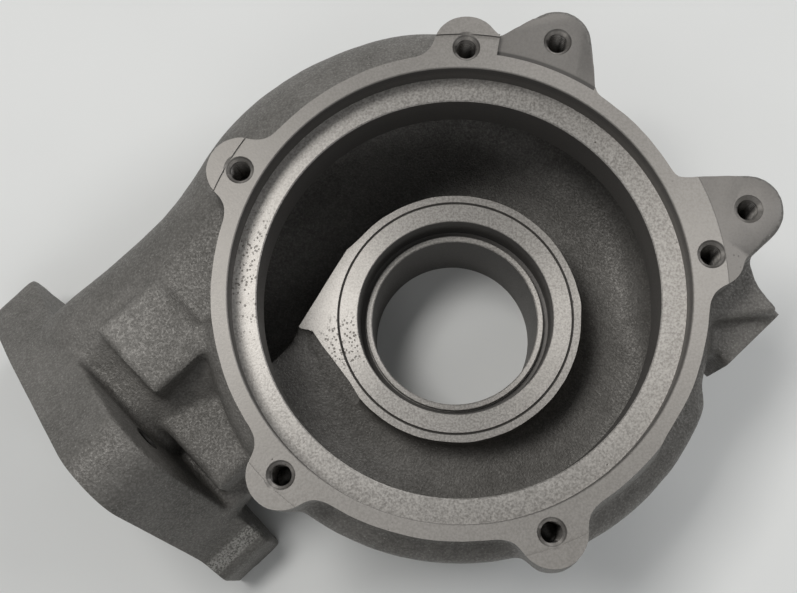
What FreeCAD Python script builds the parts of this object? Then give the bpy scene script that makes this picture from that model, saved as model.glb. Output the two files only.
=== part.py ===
import FreeCAD, Part
import math
import os
import Sketcher

# Turbine housing of a turbocharger: one iron casting, machined where it meets other pieces.
# Frame: the bore runs along Z, the outlet face is z = 0 and the wide mouth looks up.
# X and Y are the photograph's right and up. Sizes are in millimetres.

SIZES = (
    ("joint_height", 83.4, "outlet face to the joint face of the bearing housing"),
    ("joint_radius", 61.0, "outside of the joint flange between its lobes"),
    ("joint_thick", 24.0, "joint flange, from its face down into the scroll"),
    ("lobe_circle", 62.5, "radius on which the joint screws stand"),
    ("lobe_reach", 8.4, "radius of the lobe round each joint screw"),
    ("lobe_blend", 6.0, "hollow blend between lobe and flange"),
    ("lobe_stand", 0.5, "lobe tips left above the turned face"),
    ("turned_radius", 66.0, "outer edge of the turned joint face"),
    ("spigot_radius", 57.0, "counterbore that centres the bearing housing"),
    ("spigot_depth", 7.35, "depth of the counterbore"),
    ("mouth_radius", 50.8, "opening above the scroll"),
    ("ceiling_drop", 21.4, "joint face down to the roof of the gas chamber"),
    ("hub_radius", 34.8, "outside of the hub"),
    ("hub_height", 43.6, "top of the hub and of the tongue"),
    ("line_radius", 32.5, "fine groove turned in the top of the hub"),
    ("line_width", 0.6, "width and depth of that groove"),
    ("seal_radius", 27.2, "recess in the hub"),
    ("seal_depth", 8.9, "hub top to the land in the recess"),
    ("seal_land", 25.2, "outer edge of that land"),
    ("seal_groove", 2.0, "groove beside the land, below it"),
    ("seal_ledge", 0.5, "ledge between the groove and the recess wall"),
    ("bore_radius", 23.5, "wheel bore and outlet"),
    ("skin", 5.0, "wall of the casting"),
    ("scroll_start", 83.2, "outside radius of the scroll at its start"),
    ("scroll_end", 66.6, "outside radius of the scroll at its end"),
    ("floor_start", 14.0, "chamber floor at the start"),
    ("floor_end", 41.8, "chamber floor at the tongue"),
    ("roof_drop", 15.4, "joint face down to the top of the scroll outside the flange"),
    ("inlet_angle", 223.2, "direction in which the inlet points"),
    ("port_width", 38.0, "gas port in the inlet flange"),
    ("port_height", 34.0, "height of the gas port"),
    ("port_corner", 14.0, "corner radius of the gas port"),
    ("port_aside", 51.0, "port centre to the bore axis, sideways"),
    ("port_rise", 30.0, "port centre above the outlet face"),
    ("inlet_back", 80.4, "bore axis to the back of the inlet flange"),
    ("inlet_thick", 16.5, "thickness of the inlet flange"),
    ("inlet_lean", 2.3, "lean of the inlet flange in degrees"),
    ("inlet_wide", 110.0, "width of the inlet flange"),
    ("inlet_top", 78.0, "corner height of the flange's apex before rounding"),
    ("inlet_round", 12.0, "rounding of the flange's outer corners"),
    ("inlet_tap", 3.4, "tapping radius of the inlet holes"),
    ("joint_tap", 2.5, "tapping radius of the joint and ear holes"),
    ("tap_sink", 3.6, "countersink radius of those holes"),
    ("tap_depth", 15.0, "depth of the blind holes"),
    ("ear_reach", 9.0, "radius of the two bracket ears"),
    ("ear_thick", 18.0, "thickness of the bracket ears"),
    ("rear_ear_drop", 2.0, "rear ear below the joint face"),
    ("side_ear_drop", 0.3, "side ear and the lobe beside it below the joint face"),
    ("lug_drop", 23.4, "joint face down to the top of the side lug"),
    ("lug_tall", 24.0, "height of the side lug"),
    ("lug_wide", 20.0, "width of the side lug"),
    ("lug_end", 59.8, "bore axis to the machined end of the lug"),
    ("lug_side", 40.0, "near side of the lug to the bore axis"),
    ("pad_drop", 17.4, "joint face down to the pad on the inlet"),
    ("pad_wide", 23.5, "pad across the inlet"),
    ("web_drop", 31.4, "joint face down to the web between inlet and scroll"),
    ("web_gap", 3.2, "narrow trench between the web and the inlet flange"),
    ("trench_drop", 47.0, "joint face down to the bottom of that trench"),
    ("collar_radius", 36.0, "outlet collar"),
    ("collar_rim", 4.0, "straight rim of the collar"),
    ("neck_radius", 31.0, "neck above the collar"),
)

NODE = "turbine_housing"
START = 133.0
FINISH = -175.5
SHRINK_SPAN = 125.0
JOINT_HOLES = (7.4, 87.7, 150.9, 226.6, 289.9)
REAR_EAR = (26.0, 64.6)
SIDE_EAR = (71.7, 19.5)
INLET_HOLES = ((30, 59), (1.5, 12), (86, 14))


def make_sheet(doc):
    """Spreadsheet with the driving dimensions, one to a row."""
    sheet = doc.addObject("Spreadsheet::Sheet", "Sizes")
    for row, (alias, value, note) in enumerate(SIZES, start=1):
        sheet.set(f"A{row}", alias)
        sheet.set(f"B{row}", str(value))
        sheet.set(f"C{row}", note)
        sheet.setAlias(f"B{row}", alias)
    doc.recompute()
    return sheet


class Builder:
    """Adds objects to the document and binds their sizes to the sheet."""

    def __init__(self, doc, sheet):
        self.doc = doc
        self.sheet = sheet

    def value(self, text):
        """Number that an expression on the sheet gives."""
        result = self.sheet.evalExpression(str(text))
        return float(getattr(result, "Value", result))

    def add(self, kind, name, **bound):
        thing = self.doc.addObject(kind, name)
        for prop, text in bound.items():
            thing.setExpression(prop, str(text))
        return thing

    def place(self, thing, where=(0, 0, 0), turn=(0, 0, 0)):
        """Bound placement: a point, then yaw, pitch and roll in degrees."""
        point = "; ".join(f"({v})" for v in where)
        angles = "; ".join(f"({v})" for v in turn)
        text = f"placement(vector({point}); rotation({angles}))"
        thing.setExpression("Placement", text)

    def cylinder(self, name, radius, low, high, where=(0, 0)):
        thing = self.add("Part::Cylinder", name, Radius=radius, Height=f"({high}) - ({low})")
        self.place(thing, (where[0], where[1], low))
        return thing

    def box(self, name, length, width, height, where, turn):
        thing = self.add("Part::Box", name, Length=length, Width=width, Height=height)
        self.place(thing, where, turn)
        return thing

    def join(self, name, shapes):
        thing = self.doc.addObject("Part::MultiFuse", name)
        thing.Shapes = shapes
        return thing

    def cut(self, name, base, tool):
        thing = self.doc.addObject("Part::Cut", name)
        thing.Base = base
        thing.Tool = tool
        return thing

    def loft(self, name, sections):
        thing = self.doc.addObject("Part::Loft", name)
        thing.Sections = sections
        thing.Solid = True
        thing.Ruled = False
        return thing

    def sketch(self, name, geometry, constraints, dimensions, marks=()):
        """Sketch whose dimensions are bound: each is a constraint's leading parts and its text."""
        thing = self.doc.addObject("Sketcher::SketchObject", name)
        thing.addGeometry(geometry, False)
        if marks:
            thing.addGeometry(list(marks), True)
        thing.addConstraint([Sketcher.Constraint(*parts) for parts in constraints])
        for parts, text in dimensions:
            index = thing.addConstraint(Sketcher.Constraint(*parts, self.value(text)))
            thing.setExpression(f"Constraints[{index}]", str(text))
        return thing

    def polygon(self, name, points):
        """Closed outline of straight runs, with every corner bound."""
        at = [FreeCAD.Vector(self.value(x), self.value(y), 0) for x, y in points]
        count = len(at)
        lines = [Part.LineSegment(at[i], at[(i + 1) % count]) for i in range(count)]
        meets = [("Coincident", i, 2, (i + 1) % count, 1) for i in range(count)]
        sizes = []
        for i, (x, y) in enumerate(points):
            sizes.append((("DistanceX", -1, 1, i, 1), x))
            sizes.append((("DistanceY", -1, 1, i, 1), y))
        return self.sketch(name, lines, meets, sizes)

    def rounded(self, name, inner, outer, low, high, radii):
        """Four-sided section with rounded corners: top outer, bottom outer, bottom inner, top inner."""
        x0, x1, y0, y1 = (self.value(v) for v in (inner, outer, low, high))
        ra, rb, rc, rd = (self.value(r) for r in radii)
        centres = ((x1 - rb, y0 + rb, rb), (x1 - ra, y1 - ra, ra),
                   (x0 + rd, y1 - rd, rd), (x0 + rc, y0 + rc, rc))
        runs = (
            ((x0 + rc, y0), (x1 - rb, y0)),
            ((x1, y0 + rb), (x1, y1 - ra)),
            ((x1 - ra, y1), (x0 + rd, y1)),
            ((x0, y1 - rd), (x0, y0 + rc)),
        )
        pieces = [Part.LineSegment(FreeCAD.Vector(*a, 0), FreeCAD.Vector(*b, 0)) for a, b in runs]
        up = FreeCAD.Vector(0, 0, 1)
        for i, (cx, cy, r) in enumerate(centres):
            circle = Part.Circle(FreeCAD.Vector(cx, cy, 0), up, r)
            first = math.radians(90 * i - 90)
            pieces.append(Part.ArcOfCircle(circle, first, first + math.pi / 2))
        ties = [("Horizontal", 0), ("Horizontal", 2), ("Vertical", 1), ("Vertical", 3)]
        for i in range(4):
            ties.append(("Tangent", i, 2, 4 + i, 1))
            ties.append(("Tangent", 4 + i, 2, (i + 1) % 4, 1))
        sizes = [
            (("DistanceX", -1, 1, 3, 1), inner),
            (("DistanceX", -1, 1, 1, 1), outer),
            (("DistanceY", -1, 1, 0, 1), low),
            (("DistanceY", -1, 1, 2, 1), high),
        ]
        order = (radii[1], radii[0], radii[3], radii[2])
        sizes += [(("Radius", 4 + i), text) for i, text in enumerate(order)]
        return self.sketch(name, pieces, ties, sizes)

    def outline(self, name, corners):
        """Closed outline with rounded corners: each corner is x, y and its radius, all bound."""
        at = [FreeCAD.Vector(self.value(x), self.value(y), 0) for x, y, _ in corners]
        count = len(at)
        arcs, entry, leave, ends = [], [], [], []
        up = FreeCAD.Vector(0, 0, 1)
        for i, (_, _, text) in enumerate(corners):
            radius = self.value(text)
            back = (at[i - 1] - at[i]).normalize()
            on = (at[(i + 1) % count] - at[i]).normalize()
            half = back.getAngle(on) / 2
            reach = radius / math.tan(half)
            centre = at[i] + (back + on).normalize() * (radius / math.sin(half))
            entry.append(at[i] + back * reach)
            leave.append(at[i] + on * reach)
            left = back.cross(on).z < 0
            first, last = (entry[i], leave[i]) if left else (leave[i], entry[i])
            a = math.atan2(first.y - centre.y, first.x - centre.x)
            b = math.atan2(last.y - centre.y, last.x - centre.x)
            b += 2 * math.pi if b < a else 0
            arcs.append(Part.ArcOfCircle(Part.Circle(centre, up, radius), a, b))
            ends.append((1, 2) if left else (2, 1))
        lines = [Part.LineSegment(leave[i], entry[(i + 1) % count]) for i in range(count)]
        ties, sizes = [], []
        for i, (x, y, radius) in enumerate(corners):
            before, arc, mark = (i - 1) % count, count + i, 2 * count + i
            ties.append(("Tangent", before, 2, arc, ends[i][0]))
            ties.append(("Tangent", arc, ends[i][1], i, 1))
            ties.append(("PointOnObject", mark, 1, before))
            ties.append(("PointOnObject", mark, 1, i))
            sizes.append((("DistanceX", -1, 1, mark, 1), x))
            sizes.append((("DistanceY", -1, 1, mark, 1), y))
            sizes.append((("Radius", arc), radius))
        return self.sketch(name, lines + arcs, ties, sizes, [Part.Point(p) for p in at])

    def extrude(self, name, base, length, reverse=False):
        thing = self.add("Part::Extrusion", name, LengthFwd=length)
        thing.Base = base
        thing.DirMode = "Normal"
        thing.Reversed = reverse
        thing.Solid = True
        return thing

    def turn(self, name, points):
        """Solid turned about the bore axis from a half profile of radius and height."""
        profile = self.polygon(f"{name}Profile", points)
        self.place(profile, (0, 0, 0), (0, 0, 90))
        thing = self.doc.addObject("Part::Revolution", name)
        thing.Source = profile
        thing.Axis = FreeCAD.Vector(0, 0, 1)
        thing.Angle = 360
        thing.Solid = True
        return thing

    def tapped(self, name, radius, sink, depth, where, turn=(0, 0, 0)):
        """Tapping hole with its countersink; where is the mouth and the hole runs back from it."""
        hole = self.add("Part::Cylinder", f"{name}Drill", Radius=radius, Height=f"({depth}) + 1")
        cone = self.add("Part::Cone", f"{name}Sink", Radius1=radius, Radius2=f"({sink}) + 1")
        cone.setExpression("Height", f"({sink}) + 1 - ({radius})")
        pose = self.doc.addObject("Part::MultiFuse", name)
        self.place(hole, (0, 0, f"0 - ({depth})"))
        self.place(cone, (0, 0, f"({radius}) - ({sink})"))
        pose.Shapes = [hole, cone]
        self.place(pose, where, turn)
        return pose


def along_inlet(distance):
    """Point on the inlet's own line, that far from the bore axis."""
    return (f"({distance}) * cos(Sizes.inlet_angle)", f"({distance}) * sin(Sizes.inlet_angle)", 0)


def below_joint(drop):
    """Height of something that hangs that far below the joint face."""
    return f"(Sizes.joint_height - Sizes.{drop})"


def grown(length):
    """Length drawn for a scroll that starts at a radius of 83.2, and grown with it."""
    return f"({length} * Sizes.scroll_start / 83.2)"


def scroll_share(angle):
    """How much of the start radius is left at an angle: a half cosine."""
    share = min(max((START - angle) / SHRINK_SPAN, 0.0), 1.0)
    return (1 + math.cos(math.pi * share)) / 2


def scroll_rise(angle):
    """How far the floor has risen at an angle, from 0 to 1."""
    return ((START - angle) / (START - FINISH)) ** 1.5


def scroll_section(kit, name, angle, inner, hollow, edges):
    """Section of the scroll on a plane through the bore axis, of the gas or of the metal round it."""
    outer = f"Sizes.scroll_end + (Sizes.scroll_start - Sizes.scroll_end) * {scroll_share(angle):.4f}"
    low = f"Sizes.floor_start + (Sizes.floor_end - Sizes.floor_start) * {scroll_rise(angle):.4f}"
    edges = [grown(edge) for edge in edges]
    if hollow:
        section = kit.rounded(name, inner, f"{outer} - Sizes.skin", low, below_joint("ceiling_drop"), edges)
    else:
        section = kit.rounded(name, inner, outer, f"{low} - Sizes.skin", below_joint("roof_drop"), edges)
    kit.place(section, (0, 0, 0), (angle, 0, 90))
    return section


def duct_section(kit, name, distance, sides, heights, edges):
    """Section of the inlet duct square to its line; sides are measured away from the bore axis."""
    edges = [edge if isinstance(edge, str) else grown(edge) for edge in edges]
    section = kit.rounded(name, sides[0], sides[1], heights[0], heights[1], edges)
    kit.place(section, along_inlet(distance), ("Sizes.inlet_angle - 90", 0, 90))
    return section


def even(first, last, count):
    """Angles at even steps, both ends included."""
    return [first + (last - first) * i / (count - 1) for i in range(count)]


def scroll_body(kit):
    """Outside of the scroll and of the inlet duct, as two lofts that share a section."""
    near = "Sizes.port_aside - Sizes.port_width / 2 - Sizes.skin"
    far = "Sizes.port_aside + Sizes.port_width / 2 + Sizes.skin"
    top = "Sizes.port_rise + Sizes.port_height / 2 + Sizes.skin + 2"
    low = "Sizes.port_rise - Sizes.port_height / 2 - Sizes.skin"
    base = "Sizes.floor_start - Sizes.skin"
    roof = below_joint("roof_drop")
    core = grown(20)
    parts = [
        duct_section(kit, "DuctEnd", "Sizes.inlet_back + 6", (near, far), (low, top), (17, 17, 8, 15)),
        duct_section(kit, "DuctMid", grown(50), (grown(22), grown(75.5)), (base, f"{roof} - 3"),
                     (21, 20, 6, 16)),
        duct_section(kit, "DuctNear", grown(24), (grown(21), grown(79.2)), (base, roof), (23, 21, 4, 8)),
    ]
    for i, angle in enumerate(even(START, -7, 6)):
        top_edge = 24 - 16 * (START - angle) / 140
        low_edge = 22 - 9 * (START - angle) / 140
        parts.append(scroll_section(kit, f"BodyA{i}", angle, core, False, (top_edge, low_edge, 4, 4)))
    first = kit.loft("BodyStart", parts)
    parts = []
    for i, angle in enumerate(even(-7, FINISH, 6)):
        share = (-7 - angle) / (-7 - FINISH)
        edges = (8 - 3 * share, 13 - 4 * share, 4, 4)
        parts.append(scroll_section(kit, f"BodyB{i}", angle, core, False, edges))
    return [first, kit.loft("BodyEnd", parts)]


def gas_section(kit, name, distance, inner, outer, top, edges):
    """Section of the gas in the duct: outer is the outside of the metal there."""
    sides = (inner, f"{grown(outer)} - Sizes.skin")
    return duct_section(kit, name, grown(distance), sides, ("Sizes.floor_start", top), edges)


def chamber(kit):
    """Gas passage from the port to the tongue, as two lofts that share a section."""
    near = "Sizes.port_aside - Sizes.port_width / 2"
    far = "Sizes.port_aside + Sizes.port_width / 2"
    low = "Sizes.port_rise - Sizes.port_height / 2"
    top = "Sizes.port_rise + Sizes.port_height / 2"
    corner = ("Sizes.port_corner",) * 4
    roof = below_joint("ceiling_drop")
    hub = "Sizes.hub_radius - 1"
    parts = [
        duct_section(kit, "Port", "Sizes.inlet_back + Sizes.inlet_thick + 5",
                     (near, far), (low, top), corner),
        duct_section(kit, "PortNeck", "Sizes.inlet_back - 6", (near, far), (low, top), corner),
        gas_section(kit, "DuctGas", 50, grown(27.4), 75.5, f"{roof} - 3", (17, 17, 9, 13)),
        gas_section(kit, "TongueTip", 33, grown(28.2), 77.7, roof, (18, 18, 8, 4)),
        gas_section(kit, "TongueSide", 20, grown(32.9), 80.1, roof, (18, 18, 8, 3)),
        gas_section(kit, "TongueRoot", 9, hub, 82.1, roof, (18, 18, 8, 3)),
    ]
    for i, angle in enumerate(even(START, -7, 6)):
        ease = 5 * (START - angle) / 140
        parts.append(scroll_section(kit, f"GasA{i}", angle, hub, True, (18 - ease, 18 - ease, 8, 3)))
    first = kit.loft("GasStart", parts)
    parts = []
    for i, angle in enumerate(even(-7, FINISH, 7)):
        ease = 6 * (-7 - angle) / (-7 - FINISH)
        parts.append(scroll_section(kit, f"GasB{i}", angle, hub, True, (13 - ease, 13 - ease, 8 - ease, 3)))
    return [first, kit.loft("GasEnd", parts)]


def on_circle(radius, angle):
    return (f"({radius}) * cos({angle})", f"({radius}) * sin({angle})")


def flange_outline(kit):
    """Joint flange with a lobe for each screw, every arc running smoothly into the next."""
    ring, lobe, blend, circle = (kit.value(f"Sizes.{n}") for n in
                                 ("joint_radius", "lobe_reach", "lobe_blend", "lobe_circle"))
    far, near = ring + blend, lobe + blend
    swing = math.degrees(math.acos((far ** 2 + circle ** 2 - near ** 2) / (2 * far * circle)))
    up = FreeCAD.Vector(0, 0, 1)

    def point(radius, angle):
        turn = math.radians(angle)
        return FreeCAD.Vector(radius * math.cos(turn), radius * math.sin(turn), 0)

    def arc(centre, radius, first, last):
        a = math.atan2(first.y - centre.y, first.x - centre.x)
        b = math.atan2(last.y - centre.y, last.x - centre.x)
        return Part.ArcOfCircle(Part.Circle(centre, up, radius), a, b if b > a else b + 2 * math.pi)

    shapes, ties, sizes = [], [], []
    origin = FreeCAD.Vector(0, 0, 0)
    count = len(JOINT_HOLES)
    for i, angle in enumerate(JOINT_HOLES):
        ahead = JOINT_HOLES[(i + 1) % count] - swing
        seat = point(circle, angle)
        left, right = point(far, angle - swing), point(far, angle + swing)
        meet_left = seat + (left - seat).normalize() * lobe
        meet_right = seat + (right - seat).normalize() * lobe
        shapes.append(arc(left, blend, meet_left, point(ring, angle - swing)))
        shapes.append(arc(seat, lobe, meet_left, meet_right))
        shapes.append(arc(right, blend, point(ring, angle + swing), meet_right))
        shapes.append(arc(origin, ring, point(ring, angle + swing), point(ring, ahead)))
        a = 4 * i
        ties.append(("Tangent", a, 1, a + 1, 1))
        ties.append(("Tangent", a + 1, 2, a + 2, 2))
        ties.append(("Tangent", a + 2, 1, a + 3, 1))
        ties.append(("Tangent", a + 3, 2, (a + 4) % (4 * count), 2))
        ties.append(("Coincident", a + 3, 3, -1, 1))
        x, y = on_circle("Sizes.lobe_circle", angle)
        sizes.append((("DistanceX", -1, 1, a + 1, 3), x))
        sizes.append((("DistanceY", -1, 1, a + 1, 3), y))
        names = ("lobe_blend", "lobe_reach", "lobe_blend", "joint_radius")
        sizes += [(("Radius", a + k), f"Sizes.{word}") for k, word in enumerate(names)]
    return kit.sketch("FlangeOutline", shapes, ties, sizes)


def joint_flange(kit):
    """Flange with its lobes, before its face is turned."""
    outline = flange_outline(kit)
    kit.place(outline, (0, 0, "Sizes.joint_height - Sizes.joint_thick"))
    return kit.extrude("JointFlange", outline, "Sizes.joint_thick + Sizes.lobe_stand")


def from_circle(x, y):
    """Place beside the joint, drawn for a screw circle of 62.5 and grown with it."""
    return (f"({x} * Sizes.lobe_circle / 62.5)", f"({y} * Sizes.lobe_circle / 62.5)")


def ear(kit, name, seat, roots, drop):
    """Bracket ear: a round end with two straight sides that run into the flange."""
    radius = kit.value("Sizes.ear_reach")
    spots = [from_circle(*spot) for spot in (seat, *roots)]
    centre, *starts = [FreeCAD.Vector(kit.value(x), kit.value(y), 0) for x, y in spots]
    ends, turns = [], []
    for root, side in zip(starts, (-1, 1)):
        away = root - centre
        lean = math.atan2(away.y, away.x) - side * math.acos(radius / away.Length)
        ends.append(root)
        turns.append(lean)
    first, last = turns
    last += 2 * math.pi if last < first else 0
    rim = Part.ArcOfCircle(Part.Circle(centre, FreeCAD.Vector(0, 0, 1), radius), first, last)
    shapes = [Part.LineSegment(ends[0], rim.StartPoint), rim,
              Part.LineSegment(rim.EndPoint, ends[1]), Part.LineSegment(ends[1], ends[0])]
    ties = [("Tangent", 0, 2, 1, 1), ("Tangent", 1, 2, 2, 1),
            ("Coincident", 2, 2, 3, 1), ("Coincident", 3, 2, 0, 1)]
    sizes = [(("Radius", 1), "Sizes.ear_reach")]
    for spot, (x, y) in zip(((1, 3), (0, 1), (2, 2)), spots):
        sizes.append((("DistanceX", -1, 1, *spot), x))
        sizes.append((("DistanceY", -1, 1, *spot), y))
    outline = kit.sketch(f"{name}Outline", shapes, ties, sizes)
    kit.place(outline, (0, 0, f"Sizes.joint_height - {drop} - Sizes.ear_thick"))
    return kit.extrude(name, outline, "Sizes.ear_thick")


def inlet_point(x, y, out=0):
    """World point for a place on the leaning inlet flange: sideways, up the flange, and out of it."""
    turn, lean = "Sizes.inlet_angle", "Sizes.inlet_lean"
    reach = f"(Sizes.inlet_back + ({y}) * sin({lean}) + ({out}) * cos({lean}))"
    return (
        f"{reach} * cos({turn}) + ({x}) * sin({turn})",
        f"{reach} * sin({turn}) - ({x}) * cos({turn})",
        f"({y}) * cos({lean}) - ({out}) * sin({lean})",
    )


def on_flange(x, y):
    """Place on the inlet flange, drawn for a flange 110 wide and 78 high and grown with it."""
    return (f"({x} * Sizes.inlet_wide / 110)", f"({y} * Sizes.inlet_top / 78)")


def inlet_flange(kit):
    """Three-cornered flange that leans a little out from the outlet's axis."""
    big = "Sizes.inlet_round"
    corners = (
        (90, -3, 8), (-9.5, -3, 2), (-7.5, 20, 4), (0.5, 27, 5),
        (21.5, 78, big), (35.5, 78, big), (76, 44, f"2 * {big}"), (101.8, 19, big),
    )
    outline = kit.outline("InletOutline", [(*on_flange(x, y), radius) for x, y, radius in corners])
    kit.place(outline, inlet_point(0, 0), ("Sizes.inlet_angle - 90", 0, "90 - Sizes.inlet_lean"))
    return kit.extrude("InletFlange", outline, "Sizes.inlet_thick", True)


def inlet_block(kit, name, near, wide, start, end, low, top):
    """Block beside the inlet's line: from near to near + wide away from it, from start to end along it."""
    turn = "Sizes.inlet_angle"
    where = (
        f"({start}) * cos({turn}) + ({near}) * sin({turn})",
        f"({start}) * sin({turn}) - ({near}) * cos({turn})",
        low,
    )
    return kit.box(name, wide, f"({end}) - ({start})", f"({top}) - ({low})", where, (f"{turn} - 90", 0, 0))


def side_lug(kit):
    """Lug below the side ear with a flat end for a stay, and the hollow gusset that ties it to the ear."""
    near = "0 - Sizes.lug_end"
    side = "0 - Sizes.lug_side"
    top = below_joint("lug_drop")
    low = f"{top} - Sizes.lug_tall"
    lug = inlet_block(kit, "SideLug", near, 32, f"{side} - Sizes.lug_wide", side, low, top)
    corners = ((58, 16, 2), (75.5, 13.5, 2), (77.2, 4.6, 12), (83.4, -3.4, 1), (60, -6, 2))
    outline = kit.outline("GussetOutline", [(*from_circle(x, y), radius) for x, y, radius in corners])
    kit.place(outline, (0, 0, low))
    return [lug, kit.extrude("Gusset", outline, "Sizes.lug_tall + Sizes.lug_drop - Sizes.ear_thick + 1")]


def web(kit):
    """Web that fills the corner between duct and scroll, a narrow trench short of the inlet flange."""
    top, trench = below_joint("web_drop"), below_joint("trench_drop")
    back = "Sizes.inlet_back"
    return [
        inlet_block(kit, "Web", 8, 32, 50, f"{back} + 1.5 - Sizes.web_gap", 22, top),
        inlet_block(kit, "TrenchFloor", 4, 26, 50, f"{back} + 4", 22, trench),
    ]


def hub(kit):
    """Hub, neck and outlet collar in one turned solid."""
    rim = "Sizes.collar_rim"
    slope = "Sizes.collar_radius - Sizes.neck_radius"
    return kit.turn("Hub", (
        (5, 0), ("Sizes.collar_radius", 0), ("Sizes.collar_radius", rim),
        ("Sizes.neck_radius", f"{rim} + 0.8 * ({slope})"),
        ("Sizes.neck_radius", f"{rim} + 0.8 * ({slope}) + 4"),
        ("Sizes.hub_radius", f"{rim} + 0.8 * ({slope}) + 7"),
        ("Sizes.hub_radius", "Sizes.hub_height"), (5, "Sizes.hub_height"),
    ))


def tongue(kit):
    """Tongue between the end of the scroll and the inlet, level with the hub's top."""
    corners = ((-20, 14, 1), (-26.5, 22.5, 1), (-37.5, 13, 25), (-44.6, -2.9, 1.2),
               (-39.7, -3.5, 1.5), (-33.5, -17, 12), (-27, -21.8, 1), (-20, -14, 1))
    grow = "Sizes.hub_radius / 34.8"
    outline = kit.outline("TongueOutline", [(f"({x} * {grow})", f"({y} * {grow})", r) for x, y, r in corners])
    kit.place(outline, (0, 0, "Sizes.floor_start - 1"))
    return kit.extrude("Tongue", outline, "Sizes.hub_height - Sizes.floor_start + 1")


def turned_faces(kit):
    """Everything that the lathe takes out, from the joint face to the outlet."""
    joint = "Sizes.joint_height"
    seat = "Sizes.joint_height - Sizes.spigot_depth"
    mouth = kit.turn("MouthTool", (
        (0, "Sizes.hub_height"), ("Sizes.mouth_radius", "Sizes.hub_height"), ("Sizes.mouth_radius", seat),
        ("Sizes.spigot_radius", seat), ("Sizes.spigot_radius", joint), ("Sizes.turned_radius", joint),
        ("Sizes.turned_radius", f"{joint} + 5"), (0, f"{joint} + 5"),
    ))
    land = "Sizes.hub_height - Sizes.seal_depth"
    groove = "Sizes.seal_radius - Sizes.seal_ledge"
    line = "Sizes.line_width"
    bore = kit.turn("BoreTool", (
        (0, -1), ("Sizes.bore_radius", -1), ("Sizes.bore_radius", land), ("Sizes.seal_land", land),
        ("Sizes.seal_land", f"{land} - Sizes.seal_groove"), (groove, f"{land} - Sizes.seal_groove"),
        (groove, land), ("Sizes.seal_radius", land), ("Sizes.seal_radius", "Sizes.hub_height + 1"),
        (0, "Sizes.hub_height + 1"),
    ))
    mark = kit.turn("LineTool", (
        (f"Sizes.line_radius - {line} / 2", f"Sizes.hub_height - {line}"),
        (f"Sizes.line_radius + {line} / 2", f"Sizes.hub_height - {line}"),
        (f"Sizes.line_radius + {line} / 2", "Sizes.hub_height + 1"),
        (f"Sizes.line_radius - {line} / 2", "Sizes.hub_height + 1"),
    ))
    level = "Sizes.joint_height - Sizes.side_ear_drop"
    wide = kit.cylinder("SideEarSweep", "Sizes.turned_radius + 40", level, "Sizes.joint_height + 4")
    wide.Angle = 50
    kit.place(wide, (0, 0, level), (-12, 0, 0))
    core = kit.cylinder("SideEarCore", "Sizes.turned_radius", f"{level} - 1", "Sizes.joint_height + 5")
    return [mouth, bore, mark, kit.cut("SideEarTool", wide, core)]


def holes(kit):
    """Tapped holes: five at the joint, two in the ears, three at the inlet and one in the lug."""
    joint, small, sink = "Sizes.joint_height", "Sizes.joint_tap", "Sizes.tap_sink"
    found = []
    for i, angle in enumerate(JOINT_HOLES):
        where = on_circle("Sizes.lobe_circle", angle) + (joint,)
        found.append(kit.tapped(f"JointHole{i}", small, sink, "Sizes.tap_depth", where))
    ears = (("RearEar", REAR_EAR, "Sizes.rear_ear_drop"), ("SideEar", SIDE_EAR, "Sizes.side_ear_drop"))
    for name, seat, drop in ears:
        where = (*from_circle(*seat), f"{joint} - {drop}")
        found.append(kit.tapped(f"{name}Hole", small, sink, "Sizes.tap_depth", where))
    for i, (x, y) in enumerate(INLET_HOLES):
        hole = kit.tapped(f"InletHole{i}", "Sizes.inlet_tap", "Sizes.inlet_tap + 0.8", "Sizes.inlet_thick + 1",
                          inlet_point(*on_flange(x, y), "Sizes.inlet_thick"),
                          ("Sizes.inlet_angle", "90 + Sizes.inlet_lean", 0))
        found.append(hole)
    turn = "Sizes.inlet_angle"
    middle = "(0 - Sizes.lug_side - Sizes.lug_wide / 2)"
    where = (
        f"{middle} * cos({turn}) - Sizes.lug_end * sin({turn})",
        f"{middle} * sin({turn}) + Sizes.lug_end * cos({turn})",
        below_joint("lug_drop") + " - Sizes.lug_tall / 2",
    )
    found.append(kit.tapped("LugHole", "Sizes.inlet_tap", "Sizes.inlet_tap + 0.8", "Sizes.tap_depth",
                            where, (f"{turn} + 90", 90, 0)))
    return found


def build(doc):
    """The whole casting: outside, gas passage, hub and tongue, then the machining."""
    kit = Builder(doc, make_sheet(doc))
    pad = inlet_block(kit, "Pad", 35.5, "Sizes.pad_wide", 53, 73.5,
                      below_joint("web_drop"), below_joint("pad_drop"))
    rear = ear(kit, "RearEar", REAR_EAR, ((35.2, 45), (8, 64)), "Sizes.rear_ear_drop")
    side = ear(kit, "SideEar", SIDE_EAR, ((60, -3), (50, 27.5)), "Sizes.side_ear_drop")
    outside = [joint_flange(kit), rear, side, pad, inlet_flange(kit)]
    blank = kit.join("Blank", scroll_body(kit) + outside + side_lug(kit) + web(kit))
    hollow = kit.cut("Hollow", blank, kit.join("Gas", chamber(kit)))
    cored = kit.join("Cored", [hollow, hub(kit), tongue(kit)])
    ground = kit.box("Ground", 400, 400, 20, (-200, -200, -20), (0, 0, 0))
    tools = kit.join("Tools", turned_faces(kit) + holes(kit) + [ground])
    return kit.cut(NODE, cored, tools)


def main():
    doc = FreeCAD.newDocument("TurbineHousing")
    housing = build(doc)
    housing.Label = NODE
    doc.recompute()
    for thing in doc.Objects:
        bad = [word for word in thing.State if word in ("Invalid", "Error")]
        if bad:
            raise RuntimeError(f"{thing.Name}: {bad}")
    if housing.Shape.isNull() or not housing.Shape.isValid():
        raise RuntimeError("the housing has no valid solid")
    os.makedirs("parts", exist_ok=True)
    housing.Shape.exportStep(f"parts/{NODE}.step")


main()
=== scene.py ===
import math

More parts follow.
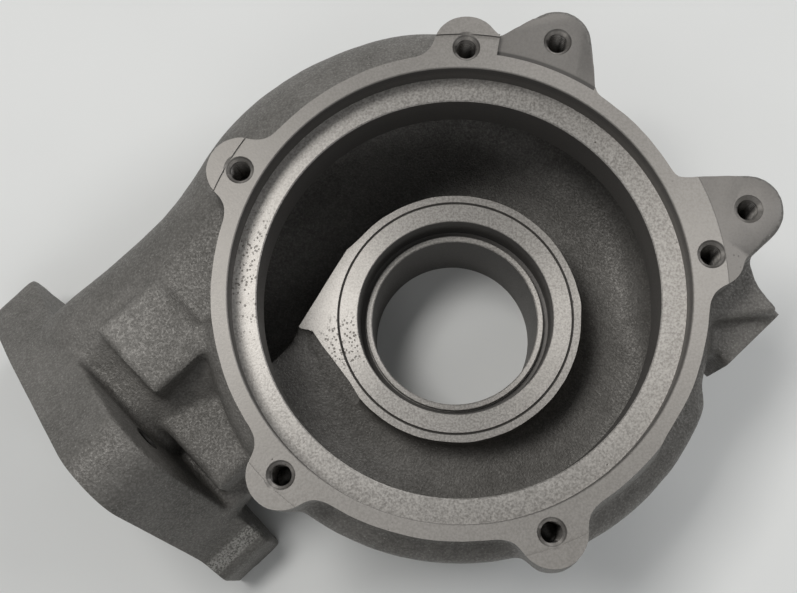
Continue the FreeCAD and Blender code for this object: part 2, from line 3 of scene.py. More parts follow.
import bmesh
import bpy
from mathutils import Matrix, Vector


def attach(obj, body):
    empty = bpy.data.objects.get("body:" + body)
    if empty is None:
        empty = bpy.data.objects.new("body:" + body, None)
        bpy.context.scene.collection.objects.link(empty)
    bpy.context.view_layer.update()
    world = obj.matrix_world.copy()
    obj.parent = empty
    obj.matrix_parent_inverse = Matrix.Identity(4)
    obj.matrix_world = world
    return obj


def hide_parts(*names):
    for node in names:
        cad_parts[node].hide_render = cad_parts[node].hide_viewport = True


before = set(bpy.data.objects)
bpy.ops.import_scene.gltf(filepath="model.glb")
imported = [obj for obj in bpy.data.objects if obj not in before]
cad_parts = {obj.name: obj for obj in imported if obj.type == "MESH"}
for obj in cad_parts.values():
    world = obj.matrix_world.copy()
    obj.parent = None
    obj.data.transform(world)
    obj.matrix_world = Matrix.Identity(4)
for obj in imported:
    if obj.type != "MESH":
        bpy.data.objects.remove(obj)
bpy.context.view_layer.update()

bl_info = {
    "name": "Turbine housing",
    "version": (1, 0, 0),
    "blender": (4, 5, 0),
    "location": "View3D > Sidebar > Housing",
    "description": "Builds a cast and machined turbine housing round its CAD solid, on a pale table",
    "category": "Object",
}

NODE = "turbine_housing"
MM = 0.001

# Sizes of the part that the looks need, in millimetres, as the CAD solid has them.
JOINT_HEIGHT = 83.4
LOBE_HEIGHT = 83.9
TURNED_RADIUS = 66.0
SPIGOT_RADIUS = 57.0
SEAT_HEIGHT = 76.05
MOUTH_RADIUS = 50.8
CEILING_HEIGHT = 62.0
HUB_HEIGHT = 43.6
HUB_RADIUS = 34.8
LINE_RADIUS = 32.5
SEAL_RADIUS = 27.2
SEAL_LAND = 25.2
LEDGE_RADIUS = 26.7
LAND_HEIGHT = 34.7
GROOVE_HEIGHT = 32.7
BORE_RADIUS = 23.5
COLLAR_RADIUS = 36.0
COLLAR_RIM = 4.0
NECK_RADIUS = 31.0
NECK_START = 8.0
LOBE_CIRCLE = 62.5
JOINT_ANGLES = (7.4, 87.7, 150.9, 226.6, 289.9)
REAR_EAR = (26.0, 64.6, 81.4)
SIDE_EAR = (71.7, 19.5, 83.1)
EAR_REACH = 15.0
JOINT_TAP = 2.5
JOINT_SINK = 3.6
JOINT_PITCH = 1.0
TAP_DEPTH = 15.0
INLET_ANGLE = 223.2
INLET_LEAN = 2.3
INLET_BACK = 80.4
INLET_THICK = 16.5
INLET_HOLES = ((30.0, 59.0, 21.0), (1.5, 12.0, 12.0), (86.0, 14.0, 12.0))
STUD_TAP = 3.4
STUD_SINK = 4.2
STUD_PITCH = 1.25
LUG_END = 59.8
LUG_MIDDLE = (-50.0, 48.0)

# The cutters that dress the tongue's two sides: name, foot, the foot's slope along X and Y, and outline.
TONGUE_SIDES = (
    ("TongueOuter", 18.5, (0, 0), (
        (-43.6, -2.9), (-42, -0.3), (-33.5, 13.9), (-29.4, 20.6), (-23.8, 27.2), (-20.5, 30),
        (-24, 34), (-34, 25), (-47, 3))),
    ("TongueInner", 38.6, (-0.095, 0.165), (
        (-39.8, -3.6), (-36.9, -7.9), (-33.3, -12.6), (-29.1, -18.2), (-26.5, -22.5),
        (-30, -26), (-38, -15), (-41, -6))),
)

# Small sizes of the machining, in millimetres.
EDGE_BREAK = 0.3
LINE_HALF = 0.35
LINE_DEPTH = 0.7
TOOL_REACH = 8
CUTTER_HALF = 60

# The ears' cutters: inner and outer radius, half the angle that they span in degrees, and their wall's slope.
REAR_EAR_CUT = (61.2, 84, 12.3, 0.0)
SIDE_EAR_CUT = (TURNED_RADIUS, 92, 25, 1.0)

# Shares: the stock that the ears get, and a thread's depth in its pitch.
EAR_STOCK = 0.12
THREAD_DEPTH = 0.54

# How finely round things are divided, and the angle in degrees from which an edge counts as sharp.
TURNED_STEPS = 256
OUTLET_STEPS = 160
PLUG_STEPS = 32
THREAD_STEPS = 24
EAR_STEPS = 24
SHARP_ANGLE = 34

# Half the texture space in metres; it's centred on the bore's axis, so the turning marks run round it.
TEXTURE_SPACE = 0.15

# The camera: focal length, sensor and place in millimetres, and the view's right and down.
LENS = 54.2
SENSOR = 36.0
CAMERA_PLACE = (-7.91, -59.35, 371.4)
CAMERA_RIGHT = (0.9997, 0.0, -0.0239)
CAMERA_DOWN = (-0.0047, -0.9809, -0.1946)

# The lamps, in metres: where they all look, then each one's name, place, width, depth and tint.
LIT_PLACE = (-0.02, 0.0, 0.04)
LAMPS = (
    ("Key", (-0.52, 0.31, 1.5), 0.7, 0.4, (1.0, 0.99, 0.97)),
    ("Fill", (1.3, 0.4, 1.2), 0.6, 0.5, (0.97, 0.98, 1.0)),
    ("Back", (0.6, 1.7, 1.1), 0.8, 0.6, (1.0, 1.0, 1.0)),
    ("Front", (0.0, -0.9, 1.3), 0.8, 0.5, (1.0, 1.0, 1.0)),
)


def along(angle):
    """Unit vector in the plane of the table, at an angle in degrees."""
    turn = math.radians(angle)
    return Vector((math.cos(turn), math.sin(turn), 0))


OUT = along(INLET_ANGLE)
SIDE = along(INLET_ANGLE + 90)
UP = Vector((0, 0, 1))
LEAN = math.radians(INLET_LEAN)
INLET_NORMAL = OUT * math.cos(LEAN) - UP * math.sin(LEAN)
INLET_RISE = OUT * math.sin(LEAN) + UP * math.cos(LEAN)
LUG_FACE = OUT * LUG_MIDDLE[0] + SIDE * LUG_END + UP * LUG_MIDDLE[1]


def inlet_place(x, y, out=0.0):
    """Point on the leaning inlet flange: away from the bore, up the flange, and out of its back face."""
    return OUT * INLET_BACK - SIDE * x + INLET_RISE * y + INLET_NORMAL * out


# Meshes

def new_object(name, mesh):
    thing = bpy.data.objects.new(name, mesh)
    bpy.context.scene.collection.objects.link(thing)
    return thing


def mesh_from(name, points, faces, matrix=None):
    """Object from points in millimetres and faces."""
    mesh = bpy.data.meshes.new(name)
    moved = [(matrix @ Vector(p) if matrix else Vector(p)) * MM for p in points]
    mesh.from_pydata([tuple(p) for p in moved], [], faces)
    mesh.update()
    return new_object(name, mesh)


def tidy_normals(thing):
    """Face normals made to look outward."""
    work = bmesh.new()
    work.from_mesh(thing.data)
    bmesh.ops.recalc_face_normals(work, faces=work.faces)
    work.to_mesh(thing.data)
    work.free()
    return thing


def turned(name, profile, steps=TURNED_STEPS, matrix=None):
    """Solid turned about Z from a closed half profile of radius and height."""
    points, rows = [], []
    for radius, height in profile:
        if radius < 1e-6:
            rows.append([len(points)] * steps)
            points.append((0, 0, height))
        else:
            rows.append(list(range(len(points), len(points) + steps)))
            points += [(*(along(360 * i / steps) * radius).xy, height) for i in range(steps)]
    faces = []
    for row, after in zip(rows, rows[1:] + rows[:1]):
        for i in range(steps):
            j = (i + 1) % steps
            corners = [row[i], row[j], after[j], after[i]]
            corners = [c for k, c in enumerate(corners) if c not in corners[:k]]
            if len(corners) > 2:
                faces.append(corners)
    return tidy_normals(mesh_from(name, points, faces, matrix))


def prism(name, outline, low, high, matrix=None):
    """Solid that rises from a closed flat outline."""
    count = len(outline)
    points = [(x, y, low) for x, y in outline] + [(x, y, high) for x, y in outline]
    faces = [list(range(count)), list(range(count, 2 * count))]
    faces += [[i, (i + 1) % count, count + (i + 1) % count, count + i] for i in range(count)]
    return tidy_normals(mesh_from(name, points, faces, matrix))


def square(half):
    """Outline of a square about the origin."""
    return [(-half, -half), (half, -half), (half, half), (-half, half)]


def stand(place, axis):
    """Matrix that puts local Z along an axis with its origin at a place."""
    return Matrix.Translation(place) @ Vector(axis).to_track_quat("Z", "Y").to_matrix().to_4x4()


def threaded(name, radius, sink, depth, pitch, place, axis, steps=THREAD_STEPS):
    """Cutter for a tapped hole: a helical thread that fades at both ends, with its countersink."""
    rings, per_turn = [], 4
    turns = depth / pitch
    cut = THREAD_DEPTH * pitch
    for k in range(int(turns * per_turn) + 1):
        height = -depth + k * pitch / per_turn
        if height > -(sink - radius) - 0.2 * pitch:
            break
        fade = min(1.0, k / per_turn)
        ring = []
        for i in range(steps):
            phase = (k / per_turn - i / steps) % 1.0
            ring.append((*(along(360 * i / steps) * (radius + cut * fade * abs(2 * phase - 1))).xy, height))
        rings.append(ring)
    for r, h in ((radius + 0.1, -(sink - radius)), (sink, 0.0), (sink + 1.2, 1.2)):
        rings.append([(*(along(360 * i / steps) * r).xy, h) for i in range(steps)])
    points = [p for ring in rings for p in ring] + [(0, 0, -depth - 0.6 * radius), (0, 0, 1.2)]
    faces = []
    for k in range(len(rings) - 1):
        for i in range(steps):
            j = (i + 1) % steps
            faces.append((k * steps + i, k * steps + j, (k + 1) * steps + j, (k + 1) * steps + i))
    low, top, last = len(points) - 2, len(points) - 1, (len(rings) - 1) * steps
    for i in range(steps):
        j = (i + 1) % steps
        faces.append((low, j, i))
        faces.append((top, last + i, last + j))
    return tidy_normals(mesh_from(name, points, faces, stand(place, axis)))


def join(name, things):
    """One object of several, which are used up."""
    work = bmesh.new()
    for thing in things:
        work.from_mesh(thing.data)
        bpy.data.objects.remove(thing)
    mesh = bpy.data.meshes.new(name)
    work.to_mesh(mesh)
    work.free()
    return new_object(name, mesh)


def bake(thing):
    """Modifiers turned into plain mesh."""
    shape = thing.evaluated_get(bpy.context.evaluated_depsgraph_get())
    mesh = bpy.data.meshes.new_from_object(shape)
    thing.modifiers.clear()
    thing.data = mesh
    return thing


def boolean(thing, tool, operation):
    """Cuts or adds a tool and keeps the tool's own material on the new faces."""
    step = thing.modifiers.new(operation.title(), "BOOLEAN")
    step.operation = operation
    step.object = tool
    step.solver = "EXACT"
    step.material_mode = "TRANSFER"
    bake(thing)
    bpy.data.objects.remove(tool)
    return thing


# Materials

class Socket:
    """A shader socket that takes part in plain sums."""

    def __init__(self, shade, socket):
        self.shade, self.socket = shade, socket

    def maths(self, operation, first, second=0.0):
        found = self.shade.node("ShaderNodeMath", {"operation": operation}, {0: first, 1: second})
        return Socket(self.shade, found.outputs[0])

    def __add__(self, other):
        return self.maths("ADD", self, other)

    def __radd__(self, other):
        return self.maths("ADD", other, self)

    def __sub__(self, other):
        return self.maths("SUBTRACT", self, other)

    def __rsub__(self, other):
        return self.maths("SUBTRACT", other, self)

    def __mul__(self, other):
        return self.maths("MULTIPLY", self, other)

    def __rmul__(self, other):
        return self.maths("MULTIPLY", other, self)

    def power(self, exponent):
        return self.maths("POWER", self, exponent)

    def step(self, low, high):
        """Rises smoothly from 0 at low to 1 at high, or falls where low is the higher."""
        if low > high:
            return 1.0 - self.step(high, low)
        inputs = {"Value": self, "From Min": low, "From Max": high}
        found = self.shade.node("ShaderNodeMapRange", {"interpolation_type": "SMOOTHSTEP"}, inputs)
        return Socket(self.shade, found.outputs["Result"])


class Shade:
    """A material and the nodes that feed its main shader."""

    def __init__(self, name):
        self.material = bpy.data.materials.new(name)
        self.material.use_nodes = True
        self.tree = self.material.node_tree
        self.shader = next(n for n in self.tree.nodes if n.type == "BSDF_PRINCIPLED")
        self.place = self.out(self.node("ShaderNodeTexCoord"), "Object")

    def node(self, kind, settings=None, inputs=None):
        found = self.tree.nodes.new(kind)
        for key, value in (settings or {}).items():
            setattr(found, key, value)
        for key, value in (inputs or {}).items():
            self.feed(found.inputs[key], value)
        return found

    def feed(self, target, value):
        if isinstance(value, Socket):
            self.tree.links.new(value.socket, target)
        else:
            target.default_value = value

    def out(self, node, key=0):
        return Socket(self, node.outputs[key])

    def noise(self, scale, detail, rough):
        inputs = {"Vector": self.place, "Scale": scale, "Detail": detail, "Roughness": rough}
        return self.out(self.node("ShaderNodeTexNoise", None, inputs), "Fac")

    def cells(self, scale):
        inputs = {"Vector": self.place, "Scale": scale}
        return self.out(self.node("ShaderNodeTexVoronoi", {"feature": "F1"}, inputs), "Distance")

    def mix(self, share, first, second):
        return self.out(self.node("ShaderNodeMix", {"data_type": "RGBA"}, {0: share, 6: first, 7: second}), 2)

    def parts(self, vector):
        """The three parts of a vector."""
        node = self.node("ShaderNodeSeparateXYZ", None, {0: vector})
        return self.out(node, 0), self.out(node, 1), self.out(node, 2)

    def flat_distance(self):
        """Distance from the bore's axis."""
        x, y, _ = self.parts(self.place)
        return (x * x + y * y).power(0.5)

    def band(self, value, low, full, end, high):
        """1 between two places on a scale in millimetres, falling to 0 at both sides."""
        return value.step(low * MM, full * MM) * value.step(high * MM, end * MM)

    def near(self, x, y, z, inner, outer):
        """1 within a distance of a point, falling to 0 further out; all in millimetres."""
        point = (x * MM, y * MM, z * MM)
        gap = self.node("ShaderNodeVectorMath", {"operation": "DISTANCE"}, {0: self.place, 1: point})
        return self.out(gap, "Value").step(outer * MM, inner * MM)

    def reach(self, direction):
        """How far a place lies from the origin along a direction."""
        node = self.node("ShaderNodeVectorMath", {"operation": "DOT_PRODUCT"}, {0: self.place, 1: direction})
        return self.out(node, "Value")

    def bump(self, height, distance, strength):
        inputs = {"Height": height, "Distance": distance, "Strength": strength}
        return self.out(self.node("ShaderNodeBump", None, inputs), "Normal")

    def finish(self, **inputs):
        for key, value in inputs.items():
            self.feed(self.shader.inputs[key.replace("_", " ")], value)
        return self.material


def painted_highlight_strip(shade):
    """The strip at the inlet flange's foot that is painted brighter: a painted highlight where the bend
    catches the light.
    """
    out = shade.reach(OUT)
    height = shade.parts(shade.place)[2]
    strip = shade.band(shade.reach(SIDE), 0.5, 1.5, 4.6, 5.6) * shade.band(height, 17, 19, 28, 30)
    return strip * out.step(74 * MM, 78 * MM)


def cast_material(look):
    """Dark sand-cast iron: fine sparkling grain over soft cloudy tone."""
    shade = Shade("cast_skin")
    cloud = shade.noise(38.0, 4.0, 0.6)
    grain = shade.noise(1600.0 / look.grain, 2.0, 0.6)
    coarse = shade.noise(420.0 / look.grain, 3.0, 0.55)
    speck = shade.cells(1900.0 / look.grain).step(0.34, 0.12)
    tone = cloud.step(0.3, 0.7) * 0.35 + coarse.step(0.3, 0.7) * 0.2 + grain.step(0.35, 0.68) * 0.45
    color = shade.mix(tone, (*look.dark, 1.0), (*look.light, 1.0))
    color = shade.mix(speck * grain.step(0.5, 0.66) * 0.4, color, (*look.spark, 1.0))
    # Painted highlight: the strip at the flange's foot is mixed towards the spark colour.
    color = shade.mix(painted_highlight_strip(shade) * grain.step(0.36, 0.6) * 0.6, color, (*look.spark, 1.0))
    height = grain * 0.8 + coarse * 0.35 + speck * 0.3
    return shade.finish(
        Base_Color=color, Metallic=look.metallic, Roughness=0.6 - grain.step(0.45, 0.7) * 0.16,
        Normal=shade.bump(height, 0.00035, look.relief),
    )


def machined_material(look):
    """Turned and milled iron: mottled, with pores and two pitted patches; painted shade darkens its walls,
    threads, hole insides, seal groove, a crescent by the rear ear and the ear faces.
    """
    shade = Shade("machined_face")
    reach = shade.flat_distance()
    height = shade.parts(shade.place)[2]
    facing = shade.parts(shade.out(shade.node("ShaderNodeTexCoord"), "Normal"))[2]
    # Painted shade: faces that stand near upright, the turned walls and the threads, are darkened as if
    # turned away from the light.
    painted_wall_shade = (facing * facing).step(0.5, 0.1)
    # Painted shade inside the tapped holes of the lobes and ears, below the joint face.
    deep = shade.band(reach, 58, 59, 200, 201) * shade.band(height, 60, 64, 79.6, 80.6)
    # Painted shade on the seal groove's floor.
    groove = shade.band(reach, 25.3, 25.6, 27.0, 27.3) * shade.band(height, 30, 31, 35, 40)
    # Painted shade: a crescent on the rear ear's face at the foot of the turned ring's step.
    cove = shade.band(reach, 60.8, 61.2, 62.0, 63.6) * shade.band(height, 81.1, 81.3, 81.6, 81.9)
    rim = height.step(79.0 * MM, 80.0 * MM)
    # Painted shade inside the first stud hole of the inlet flange.
    stud = shade.near(*inlet_place(*INLET_HOLES[0][:2], 2), 9, 14)
    # All the painted shade in one mask: walls, hole insides, seal groove, the crescent by the rear ear and
    # the stud hole.
    dark_mottle_and_painted_shade = (painted_wall_shade * 0.75 + deep * 0.3 + groove + cove * 0.9 + stud).step(0.0, 1.0)
    blotch = shade.noise(170.0, 5.0, 0.7)
    fine = shade.noise(1700.0, 3.0, 0.65)
    pores = shade.cells(520.0).step(0.16, 0.05) * shade.noise(60.0, 2.0, 0.5).step(0.58, 0.7)
    patch = shade.near(-30, -7, HUB_HEIGHT, 3, 12) + shade.near(-53.5, 6, SEAT_HEIGHT, 6, 26) * 0.8
    pits = shade.cells(1150.0).step(0.44, 0.22) * shade.noise(480.0, 2.0, 0.6).step(0.43, 0.52)
    pits = pits * patch * (1.0 - rim)
    marks = (pores + pits).step(0.0, 1.0)
    tone = blotch.step(0.25, 0.75) * 0.15 + fine.step(0.3, 0.7) * 0.85
    color = shade.mix(tone * (1.0 - rim * 0.65), (*look.dark_mottle_and_painted_shade, 1.0), (*look.bright, 1.0))
    color = shade.mix(marks * 0.8, color, (*look.pit, 1.0))
    # Painted shade on the ear faces, dimming the highlight they catch.
    ears = shade.band(height, 80.9, 81.1, 81.7, 81.9) + shade.band(height, 82.9, 83.0, 83.2, 83.3)
    # Painted shade: the masked places take the shade colour, and the ear faces take it half way.
    color = shade.mix((dark_mottle_and_painted_shade + ears * 0.5).step(0.0, 1.0), color, (*look.painted_wall_shade, 1.0))
    rough = look.roughness + rim * 0.08 + fine.step(0.3, 0.7) * 0.1
    return shade.finish(
        Base_Color=color, Metallic=look.metallic, Roughness=rough,
        Anisotropic=look.lay, Anisotropic_Rotation=0.25,
        Normal=shade.bump(fine * 0.6 - marks * 1.2, 0.00012, look.relief),
    )


def floor_material(look):
    """Pale matt table with the faintest unevenness."""
    shade = Shade("table")
    tone = shade.noise(9.0, 3.0, 0.5).step(0.3, 0.7)
    grey = tuple(c * 0.97 for c in look.floor)
    pale = shade.mix(tone, (*grey, 1.0), (*look.floor, 1.0))
    return shade.finish(Base_Color=pale, Roughness=0.75, Metallic=0.0)


# Settings that a user would change

def color(name, text, value):
    return bpy.props.FloatVectorProperty(
        name=name, description=text, default=value, size=3, min=0, max=1, subtype="COLOR")


def length(name, text, value):
    return bpy.props.FloatProperty(
        name=name, description=text, default=value, min=0, unit="LENGTH", subtype="DISTANCE")


def plain(name, text, value, low=0.0, high=10.0):
    return bpy.props.FloatProperty(
        name=name, description=text, default=value, min=low, max=high, subtype="FACTOR")


def power(name, text, value):
    return bpy.props.FloatProperty(name=name, description=text, default=value, unit="POWER", min=0)


class CastingSettings(bpy.types.PropertyGroup):
    voxel: length("Cell", "Size of the cells that round the cast edges", 0.0009)
    rounding: bpy.props.IntProperty(
        name="Rounding", description="Smoothing passes over the cast skin", default=13, min=0)
    stock: length("Stock", "Metal left on faces before they are machined", 0.0028)
    wave: length("Wave", "Unevenness of the cast skin", 0.00035)
    keep: plain("Keep", "Share of the skin's faces that is kept", 0.35, 0.05, 1.0)


class CastLook(bpy.types.PropertyGroup):
    dark: color("Dark", "Hollows of the cast skin", (0.092, 0.087, 0.079))
    light: color("Light", "Raised grain of the cast skin", (0.22, 0.21, 0.196))
    spark: color("Spark", "Sparkling grains", (0.5, 0.49, 0.46))
    metallic: plain("Metallic", "How metallic the cast skin looks", 0.35, 0, 1)
    grain: plain("Grain", "Size of the grain against the photographed one", 1.0, 0.2, 5)
    relief: plain("Relief", "Depth of the grain", 0.7, 0, 1)


class MachinedLook(bpy.types.PropertyGroup):
    dark_mottle_and_painted_shade: color("Dull", "Darker parts of a machined face", (0.26, 0.245, 0.228))
    bright: color("Bright", "Brighter parts of a machined face", (0.5, 0.478, 0.45))
    pit: color("Pit", "Open pores", (0.09, 0.08, 0.07))
    # Colour of the painted shade on walls, threads, hole insides, the seal groove, the crescent by the rear
    # ear and the ear faces.
    painted_wall_shade: color("Wall", "Turned walls and threads", (0.10, 0.095, 0.09))
    metallic: plain("Metallic", "How metallic a machined face looks", 0.75, 0, 1)
    roughness: plain("Roughness", "Roughness of a machined face", 0.4, 0, 1)
    lay: plain("Lay", "How much the turning marks spread a highlight across them", 0.75, 0, 1)
    relief: plain("Relief", "Depth of marks, grain and pores", 0.4, 0, 1)


class StageSettings(bpy.types.PropertyGroup):
    floor: color("Floor", "Table", (0.75, 0.755, 0.745))
    size: length("Size", "Width of the table", 24.0)
    key: power("Key", "Soft light at the left", 12.0)
    fill: power("Fill", "Soft light at the right", 6.0)
    back: power("Back", "Soft light behind", 9.0)
    front: power("Front", "Soft light in front", 1.7)
    sky: plain("Sky", "Light from all round", 0.25)


# The casting before it is machined

def plug(name, radius, low, high, place=(0, 0, 0), axis=(0, 0, 1)):
    """Closed cylinder that fills a hole until it's drilled again."""
    profile = ((0, low), (radius, low), (radius, high), (0, high))
    return turned(name, profile, PLUG_STEPS, stand(place, axis))


def tapped_seats():
    """Place, direction, thread pitch, tap radius and countersink of every tapped hole."""
    places = [along(angle) * LOBE_CIRCLE + UP * JOINT_HEIGHT for angle in JOINT_ANGLES]
    places += [Vector(ear) for ear in (REAR_EAR, SIDE_EAR)]
    seats = [(place, UP, JOINT_PITCH, JOINT_TAP, JOINT_SINK) for place in places]
    seats.append((LUG_FACE, SIDE, STUD_PITCH, STUD_TAP, STUD_SINK))
    return seats


def add_stock(thing, amount):
    """Pushes the faces that will be machined outward."""
    work = bmesh.new()
    work.from_mesh(thing.data)
    bmesh.ops.remove_doubles(work, verts=work.verts, dist=1e-6)
    end = inlet_place(0, 0, INLET_THICK)
    for vert in work.verts:
        place = vert.co / MM
        flat = place.xy.length
        if place.z > REAR_EAR[2] - 0.3:
            ear = min((place.xy - Vector(seat[:2])).length for seat in (REAR_EAR, SIDE_EAR))
            vert.co += UP * amount * (EAR_STOCK if ear < EAR_REACH and flat > TURNED_RADIUS else 1.0)
        elif abs(place.z - HUB_HEIGHT) < 0.05 and flat < 47:
            vert.co += UP * amount
        elif place.z < 0.05 and flat < COLLAR_RADIUS + 1:
            vert.co -= UP * amount
        elif (place - end).dot(INLET_NORMAL) > -0.05:
            vert.co += INLET_NORMAL * amount
        elif place.dot(SIDE) > LUG_END - 0.05:
            vert.co += SIDE * amount
    work.to_mesh(thing.data)
    work.free()


def rough_casting(node, settings):
    """The cast skin: the CAD solid with its holes plugged and stock on its machined faces, then rounded."""
    mesh = node.data.copy()
    mesh.materials.clear()
    solid = new_object("Solid", mesh)
    add_stock(solid, settings.stock)
    stock = settings.stock / MM
    parts = [
        solid,
        plug("MouthPlug", SPIGOT_RADIUS + 2, CEILING_HEIGHT, JOINT_HEIGHT + stock),
        plug("HubPlug", HUB_RADIUS - 0.6, 20, HUB_HEIGHT + stock),
        plug("BorePlug", NECK_RADIUS - 1, -stock, 22),
    ]
    for i, (place, axis, _, radius, sink) in enumerate(tapped_seats()):
        parts.append(plug(f"Plug{i}", sink + 1, -TAP_DEPTH - 1, stock, place, axis))
    for i, (x, y, _) in enumerate(INLET_HOLES):
        foot = inlet_place(x, y)
        parts.append(plug(f"StudPlug{i}", STUD_TAP + 1.4, 0.2, INLET_THICK + stock, foot, INLET_NORMAL))
    skin = join("Skin", parts)
    cells = skin.modifiers.new("Cells", "REMESH")
    cells.mode = "VOXEL"
    cells.voxel_size = settings.voxel * 1
    soft = skin.modifiers.new("Soft", "SMOOTH")
    soft.factor = 0.5
    soft.iterations = settings.rounding
    clouds = bpy.data.textures.new("SkinWave", "CLOUDS")
    clouds.noise_scale = 0.009
    wave = skin.modifiers.new("Wave", "DISPLACE")
    wave.texture = clouds
    wave.strength = settings.wave
    fewer = skin.modifiers.new("Fewer", "DECIMATE")
    fewer.ratio = settings.keep
    return bake(skin)


# The machining

def lathe_tool():
    """One turned cutter for the joint face, the counterbore, the mouth, the hub and the bore."""
    high = LOBE_HEIGHT + TOOL_REACH
    wide = TURNED_RADIUS + 2 * TOOL_REACH
    profile = (
        (0, high), (wide, high), (wide, LOBE_HEIGHT), (TURNED_RADIUS, LOBE_HEIGHT),
        (TURNED_RADIUS, JOINT_HEIGHT), (SPIGOT_RADIUS + EDGE_BREAK, JOINT_HEIGHT),
        (SPIGOT_RADIUS, JOINT_HEIGHT - EDGE_BREAK), (SPIGOT_RADIUS, SEAT_HEIGHT),
        (MOUTH_RADIUS + EDGE_BREAK, SEAT_HEIGHT), (MOUTH_RADIUS, SEAT_HEIGHT - EDGE_BREAK),
        (MOUTH_RADIUS, HUB_HEIGHT - 0.1), (HUB_RADIUS, HUB_HEIGHT - 0.1),
        (LINE_RADIUS + LINE_HALF, HUB_HEIGHT), (LINE_RADIUS, HUB_HEIGHT - LINE_DEPTH),
        (LINE_RADIUS - LINE_HALF, HUB_HEIGHT), (SEAL_RADIUS + 0.2, HUB_HEIGHT),
        (SEAL_RADIUS, HUB_HEIGHT - 0.2), (LEDGE_RADIUS, GROOVE_HEIGHT), (SEAL_LAND, GROOVE_HEIGHT),
        (SEAL_LAND, LAND_HEIGHT - 0.2), (SEAL_LAND - 0.2, LAND_HEIGHT),
        (BORE_RADIUS + EDGE_BREAK, LAND_HEIGHT), (BORE_RADIUS, LAND_HEIGHT - EDGE_BREAK),
        (BORE_RADIUS, -TOOL_REACH), (0, -TOOL_REACH),
    )
    return turned("LatheTool", profile)


def ear_tool(name, ear, inner, outer, span, slope):
    """Cutter that mills an ear's face outside the turned ring, with a wall that may slope."""
    x, y, height = ear
    middle = math.degrees(math.atan2(y, x))
    angles = [middle - span + 2 * span * i / EAR_STEPS for i in range(EAR_STEPS + 1)]
    points = []
    for lift in (0, TOOL_REACH):
        points += [(*(along(a) * (inner - slope * lift)).xy, height + lift) for a in angles]
        points += [(*(along(a) * outer).xy, height + lift) for a in reversed(angles)]
    count = len(points) // 2
    faces = [list(range(count)), list(range(count, 2 * count))]
    faces += [[i, (i + 1) % count, count + (i + 1) % count, count + i] for i in range(count)]
    return tidy_normals(mesh_from(name, points, faces))


def machine(casting):
    """Takes the stock off every machined face and drills the holes."""
    metal = bpy.data.materials["machined_face"]

    def use(tool, operation="DIFFERENCE", material=metal):
        tool.data.materials.clear()
        tool.data.materials.append(material)
        boolean(casting, tool, operation)

    skin = casting.data.materials[0]
    for name, floor, (fall_x, fall_y), outline in TONGUE_SIDES:
        slope = Matrix(((1, 0, 0, 0), (0, 1, 0, 0), (fall_x, fall_y, 1, 0), (0, 0, 0, 1)))
        use(prism(name, outline, floor, HUB_HEIGHT + 9, slope), material=skin)
    use(prism("Ground", square(200), -6, 0), material=skin)
    use(lathe_tool())
    use(ear_tool("RearEarTool", REAR_EAR, *REAR_EAR_CUT))
    use(ear_tool("SideEarTool", SIDE_EAR, *SIDE_EAR_CUT))
    face = inlet_place(50, 35, INLET_THICK)
    use(prism("InletTool", square(CUTTER_HALF), 0, 12, stand(face, INLET_NORMAL)))
    use(prism("LugTool", square(CUTTER_HALF / 3), 0, 12, stand(LUG_FACE, SIDE)))
    wide = COLLAR_RADIUS + 4
    use(turned("OutletTool", ((0, -9), (wide, -9), (wide, NECK_START), (0, NECK_START)), OUTLET_STEPS))
    collar = (
        (BORE_RADIUS + 0.4, 0), (COLLAR_RADIUS - 0.4, 0), (COLLAR_RADIUS, 0.4), (COLLAR_RADIUS, COLLAR_RIM),
        (NECK_RADIUS, NECK_START), (NECK_RADIUS, NECK_START + 2), (BORE_RADIUS, NECK_START + 2),
        (BORE_RADIUS, 0.4),
    )
    use(turned("Collar", collar), "UNION")
    holes = [threaded(f"Thread{i}", radius, sink, TAP_DEPTH, pitch, place, axis)
             for i, (place, axis, pitch, radius, sink) in enumerate(tapped_seats())]
    for i, (x, y, depth) in enumerate(INLET_HOLES):
        mouth = inlet_place(x, y, INLET_THICK)
        holes.append(threaded(f"Stud{i}", STUD_TAP, STUD_SINK, depth, STUD_PITCH, mouth, INLET_NORMAL))
    use(join("Holes", holes))


class HOUSING_OT_casting(bpy.types.Operator):
    """Build the housing: a rounded cast skin with its machined faces, bores and threads cut into it"""
    bl_idname = "housing.casting"
    bl_label = "Build casting"

    def execute(self, context):
        scene = context.scene
        cast = cast_material(scene.housing_cast)
        machined_material(scene.housing_machined)
        casting = rough_casting(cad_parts[NODE], scene.housing_sizes)
        casting.name = "Casting"
        casting.data.materials.append(cast)
        machine(casting)
        for face in casting.data.polygons:
            face.use_smooth = True
        casting.data.set_sharp_from_angle(angle=math.radians(SHARP_ANGLE))
        casting.data.use_auto_texspace = False
        casting.data.texspace_location = (0, 0, 0)
        casting.data.texspace_size = (TEXTURE_SPACE,) * 3
        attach(casting, "root")
        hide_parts(NODE)
        return {"FINISHED"}


# The stage

def soft_light(name, place, width, depth, strength, tint):
    """Flat lamp that looks at the casting; its width runs along X."""
    lamp = bpy.data.lights.new(name, "AREA")
    lamp.shape = "RECTANGLE"
    lamp.size, lamp.size_y = width, depth
    lamp.energy = strength
    lamp.color = tint
    thing = bpy.data.objects.new(name, lamp)
    bpy.context.scene.collection.objects.link(thing)
    thing.location = place
    thing.rotation_euler = (Vector(LIT_PLACE) - Vector(place)).to_track_quat("-Z", "Y").to_euler()


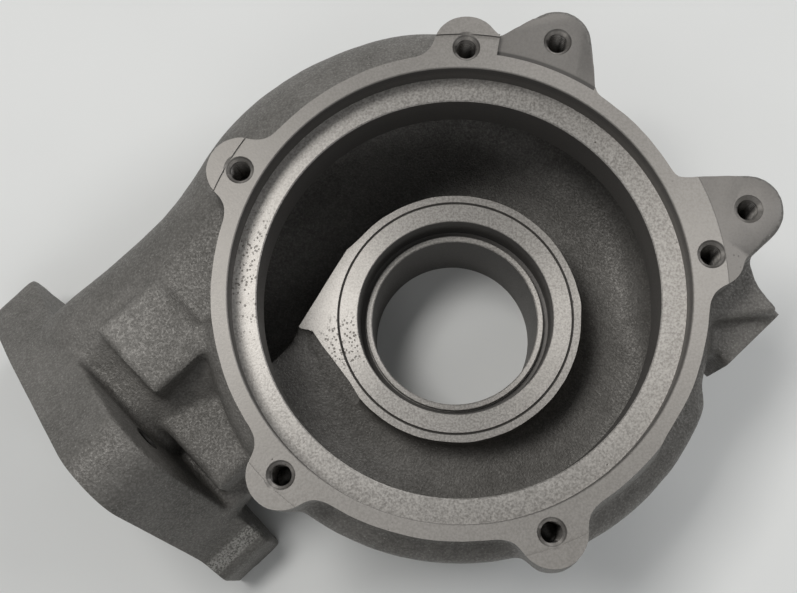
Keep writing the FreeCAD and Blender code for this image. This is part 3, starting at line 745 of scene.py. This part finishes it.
def photo_camera():
    """Camera where the photograph's perspective puts it."""
    lens = bpy.data.cameras.new("PhotoCamera")
    lens.sensor_width = SENSOR
    lens.lens = LENS
    lens.clip_start = 0.01
    camera = new_object("PhotoCamera", lens)
    right = Vector(CAMERA_RIGHT)
    down = Vector(CAMERA_DOWN)
    back = right.cross(-down)
    turn = Matrix((right, -down, back)).transposed().to_4x4()
    camera.matrix_world = Matrix.Translation(Vector(CAMERA_PLACE) * MM) @ turn
    bpy.context.scene.camera = camera


class HOUSING_OT_stage(bpy.types.Operator):
    """Set the pale table, the soft lights and the photograph's camera"""
    bl_idname = "housing.stage"
    bl_label = "Set stage"

    def execute(self, context):
        look = context.scene.housing_stage
        corners = [(x, y, 0) for x, y in square(look.size / MM / 2)]
        table = mesh_from("Table", corners, [(0, 1, 2, 3)])
        table.data.materials.append(floor_material(look))
        for name, place, width, depth, tint in LAMPS:
            soft_light(name, place, width, depth, getattr(look, name.lower()), tint)
        world = bpy.data.worlds.new("Room")
        world.use_nodes = True
        sky = world.node_tree.nodes["Background"]
        sky.inputs["Color"].default_value = (0.93, 0.95, 0.96, 1.0)
        sky.inputs["Strength"].default_value = look.sky
        context.scene.world = world
        context.scene.view_settings.view_transform = "Standard"
        photo_camera()
        return {"FINISHED"}


class HOUSING_PT_panel(bpy.types.Panel):
    """Sizes, colours and the buttons that build the housing"""
    bl_idname = "HOUSING_PT_panel"
    bl_label = "Turbine housing"
    bl_space_type = "VIEW_3D"
    bl_region_type = "UI"
    bl_category = "Housing"

    def draw(self, context):
        for name in GROUPS:
            settings = getattr(context.scene, name)
            box = self.layout.box()
            for key in settings.__annotations__:
                box.prop(settings, key)
        self.layout.operator(HOUSING_OT_casting.bl_idname)
        self.layout.operator(HOUSING_OT_stage.bl_idname)


GROUPS = {
    "housing_sizes": CastingSettings,
    "housing_cast": CastLook,
    "housing_machined": MachinedLook,
    "housing_stage": StageSettings,
}
CLASSES = (*GROUPS.values(), HOUSING_OT_casting, HOUSING_OT_stage, HOUSING_PT_panel)


def register():
    for item in CLASSES:
        bpy.utils.register_class(item)
    for name, group in GROUPS.items():
        setattr(bpy.types.Scene, name, bpy.props.PointerProperty(type=group))


def unregister():
    for name in GROUPS:
        delattr(bpy.types.Scene, name)
    for item in reversed(CLASSES):
        bpy.utils.unregister_class(item)


def main():
    register()
    bpy.ops.housing.casting()
    bpy.ops.housing.stage()


if __name__ == "__main__":
    main()
